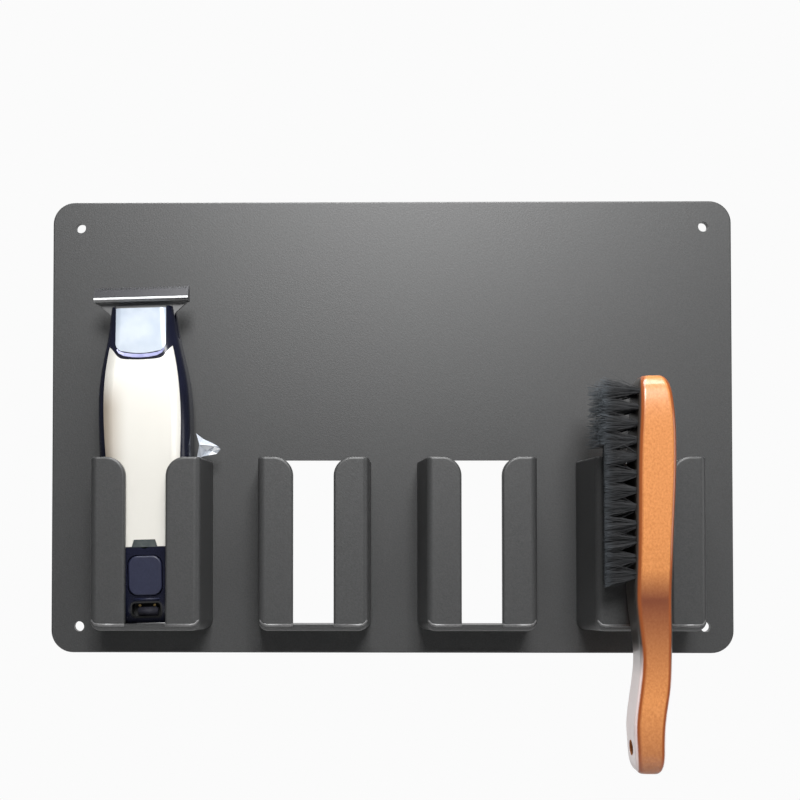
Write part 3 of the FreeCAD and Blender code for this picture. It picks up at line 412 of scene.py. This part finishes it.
inner_coats = (
    ("inner_plastic", (0.62, 0.61, 0.57), (0.72, 0.71, 0.67), 400, 0.5, 0.0, ("motor_cradle", "blade_yoke")),
    ("board_green", (0.02, 0.13, 0.04), (0.03, 0.19, 0.06), 900, 0.35, 0.0, ("circuit_board",)),
    ("cell_wrap", (0.03, 0.16, 0.26), (0.05, 0.22, 0.34), 200, 0.3, 0.0, ("battery_cell",)),
    ("motor_steel", (0.45, 0.45, 0.46), (0.60, 0.60, 0.60), 300, 0.35, 0.9, ("drive_motor",)),
    ("screw_steel", (0.40, 0.40, 0.40), (0.55, 0.55, 0.54), 900, 0.35, 0.9,
     ("case_screws", "motor_rotor", "blade_screws", "tension_spring")),
)
for name, dark, light, scale, roughness, metallic, coated in inner_coats:
    material, _ = grained(name, dark, light, scale, roughness, metallic)
    coat(material, *coated)


# ---------------------------------------------------------------- film tab
# A scrap of clear protective film, crumpled into a few sharp facets and caught between the
# trimmer and the pocket. Thin clear sheet; a few of its facets are coloured white as painted glints.

clear_film, film_shader = grained("clear_film", (0.62, 0.68, 0.78), (0.88, 0.92, 0.98), 260, 0.12, relief=0.8)
film_shader.inputs["Alpha"].default_value = 0.42
# painted highlight: near-white material for the facets that show glints
film_painted_glint, _ = grained("film_painted_glint", (0.85, 0.88, 0.93), (0.97, 0.98, 1.0), 400, 0.2)
# corners in millimetres, in the trimmer's own frame
film_points = (
    (23.8, 0.2, 91.5), (27.0, 1.6, 88.9), (30.6, 0.5, 87.1), (34.4, -0.4, 84.9), (35.4, 0.4, 83.5),
    (33.5, 1.2, 81.4), (29.8, -0.6, 80.7), (25.8, 0.9, 80.1), (25.4, -0.9, 85.9), (28.6, 1.4, 83.1),
    (32.6, -0.8, 85.0), (31.2, 0.8, 82.6), (24.6, 0.4, 74.5), (23.9, 0.8, 80.5), (29.0, -1.1, 85.6),
)
film_faces = (
    (0, 8, 1), (1, 8, 14), (1, 14, 2), (2, 14, 10), (2, 10, 3), (3, 10, 4), (10, 11, 4), (4, 11, 5),
    (11, 6, 5), (11, 9, 6), (9, 7, 6), (8, 7, 9), (8, 9, 14), (14, 9, 10), (10, 9, 11), (8, 13, 7),
    (13, 12, 7),
)
# facets that get the painted glint
glint_facets = (6, 8, 12, 13)
mesh = bpy.data.meshes.new("film_tab_crumpled")
shape = bmesh.new()
corners = [shape.verts.new(Vector(point) * 0.001) for point in film_points]
for index, face in enumerate(film_faces):
    made = shape.faces.new([corners[corner] for corner in face])
    made.material_index = int(index in glint_facets)
shape.transform(trimmer_place)
bmesh.ops.recalc_face_normals(shape, faces=shape.faces)
shape.to_mesh(mesh)
shape.free()
film = bpy.data.objects.new("film_tab_crumpled", mesh)
bpy.context.scene.collection.objects.link(film)
film.data.materials.append(clear_film)
film.data.materials.append(film_painted_glint)
film.modifiers.new("thickness", "SOLIDIFY").thickness = 0.00012
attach(film, "trimmer")
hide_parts("film_tab")


# ---------------------------------------------------------------- brush handle
# One piece of beech, turned and sanded, stained orange brown and dipped in varnish, flecked with fine
# pores and darker along the rounded edges. Down the front the colour is painted darker at the neck, as
# shade where it sits in the pocket, left light around a painted highlight below it, and darker again
# towards the lower end. The broad flat sides were left pale under the varnish; above the grip they are
# painted dark, as shade.

varnished_wood, wood_shader = new_material("varnished_wood", roughness=0.28)
wood_shader.inputs["Coat Weight"].default_value = 0.35
wood_shader.inputs["Coat Roughness"].default_value = 0.12
tree = varnished_wood.node_tree
place = tree.nodes.new("ShaderNodeTexCoord")
fibre = stretched_noise(tree, place, (1100, 1100, 900), detail=6.0)
stain = ramped(tree, fibre, (0.3, (0.52, 0.190, 0.055)), (0.7, (0.66, 0.275, 0.095)))

height = axis_values(tree, place.outputs["Object"])["Z"]
grip_low = -0.160
neck_high = -0.070
# painted shade: dark tint laid down the front, strongest at the neck
painted_shade_tint = (0.125, 0.028, 0.018)
darkness = ((0.0, 0.60), (0.15, 0.25), (0.35, 0.0), (0.56, 0.35), (0.75, 0.70), (0.85, 0.88), (0.91, 0.55),
            (1.0, 0.0))
shade = ramped(tree, rescaled(tree, height, grip_low, neck_high), *((at, (dark,) * 3) for at, dark in darkness))
front = blended(tree, shade, stain, painted_shade_tint)

sideways = tree.nodes.new("ShaderNodeMath")
sideways.operation = "ABSOLUTE"
tree.links.new(axis_values(tree, place.outputs["Normal"])["X"], sideways.inputs[0])
turned_edge = ramped(tree, sideways.outputs["Value"], (0.12, (0, 0, 0)), (0.38, (1, 1, 1)))
edged = blended(tree, turned_edge, front, (0.28, 0.070, 0.016))

above_grip = rescaled(tree, height, -0.118, -0.103)
# painted shade: the pale flat sides are darkened above the grip
pale_side_and_shade = blended(tree, above_grip, (0.84, 0.70, 0.68), (0.050, 0.042, 0.036))
flat_side = rescaled(tree, sideways.outputs["Value"], 0.62, 0.80)
tree.links.new(blended(tree, flat_side, edged, pale_side_and_shade), wood_shader.inputs["Base Color"])
raised(tree, wood_shader, fibre, 0.04, 0.0002)
coat(varnished_wood, "brush_handle")


# ---------------------------------------------------------------- bristles
# Stiff black bristles, drawn in tufts through rows of drilled holes in the head. Each tuft leaves
# its hole tight and spreads, so the gaps show at the wood and close at the tips. Tips that reach
# the pocket stay in front of its lip.

bristle_black, bristle_shader = new_material("black_bristle", roughness=0.42)
tree = bristle_black.node_tree
place = tree.nodes.new("ShaderNodeTexCoord")
tip_share = rescaled(tree, axis_values(tree, place.outputs["Object"])["X"], 0.0965, 0.0925)
tip_tint = blended(tree, tip_share, (0.028, 0.029, 0.031), (0.065, 0.075, 0.085))
tree.links.new(tip_tint, bristle_shader.inputs["Base Color"])

random.seed(41)
brush_place = Matrix.Translation((0.1180, -0.04825, -0.1615)) @ Matrix.Rotation(-math.radians(2), 4, "Z")
lip_top = -0.0176
over_lip_room = 0.004
in_front_of_lips = -0.0368
lip_tip_limit = 0.0930
row_count = 12
row_low = 0.0895
row_pitch = 0.0075
tuft_columns = 8
column_pitch = 0.0024
strands_per_tuft = 34
hole_radius = 0.0012
hole_mouth = -0.0090
stray_share = 0.05
rear_sweep = 0.013
strand_sides = 3

mesh = bpy.data.meshes.new("bristles")
shape = bmesh.new()


def add_strand(root, tip, sag, thickness):
    """Tapering strand that bows sideways by sag between its root and its tip."""
    middle = (root + tip) / 2 + sag
    rings = []
    for point, size in ((root, thickness), (middle, 0.9 * thickness), (tip, 0.55 * thickness)):
        ring = []
        for turn in range(strand_sides):
            angle = 2 * math.pi * turn / strand_sides
            ring.append(shape.verts.new(point + Vector((0, size * math.cos(angle), size * math.sin(angle)))))
        rings.append(ring)
    for ring, following in zip(rings, rings[1:]):
        for turn in range(strand_sides):
            next_turn = (turn + 1) % strand_sides
            shape.faces.new((ring[turn], ring[next_turn], following[next_turn], following[turn]))
    shape.faces.new(rings[0][::-1])
    shape.faces.new(rings[2])


for row in range(row_count):
    row_height = row_low + row * row_pitch
    row_share = (row - (row_count - 1) / 2) / (row_count / 2)
    for column in range(tuft_columns):
        column_share = (column - (tuft_columns - 1) / 2) / (tuft_columns / 2)
        lean_y = 0.10 * column_share + random.uniform(-0.05, 0.05)
        lean_z = 0.05 * row_share + random.uniform(-0.05, 0.05)
        for strand in range(strands_per_tuft):
            turn = random.uniform(0, 2 * math.pi)
            out = math.sqrt(random.random())
            y_root = column_share * tuft_columns / 2 * column_pitch + hole_radius * out * math.cos(turn)
            z_root = row_height + hole_radius * out * math.sin(turn)
            length = random.uniform(0.0156, 0.0177)
            spread_y = lean_y + 0.20 * out * math.cos(turn) + random.gauss(0, 0.05)
            spread_z = lean_z + 0.21 * out * math.sin(turn) + random.gauss(0, 0.05)
            if random.random() < stray_share:
                spread_y += random.gauss(0, 0.2)
                spread_z += random.gauss(0, 0.25)
            root = brush_place @ Vector((hole_mouth, y_root, z_root))
            tip = brush_place @ Vector((hole_mouth - length, y_root + spread_y * length,
                                        z_root + spread_z * length))
            if tip.z < lip_top + over_lip_room:
                tip.y = min(tip.y, in_front_of_lips - random.uniform(0, 0.0015))
                tip.x = max(tip.x, lip_tip_limit + 0.20 * max(0, tip.y + 0.0560))
            elif column_share > 0:
                tip.y += rear_sweep * column_share * random.uniform(0.6, 1.0)
            sag = Vector((0, random.gauss(0, 0.0004), random.gauss(0, 0.0005)))
            add_strand(root, tip, sag, random.uniform(0.00011, 0.00016))
shape.to_mesh(mesh)
shape.free()
bristles = bpy.data.objects.new("bristles", mesh)
bpy.context.scene.collection.objects.link(bristles)
bristles.data.materials.append(bristle_black)
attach(bristles, "brush")
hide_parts("bristle_tufts")
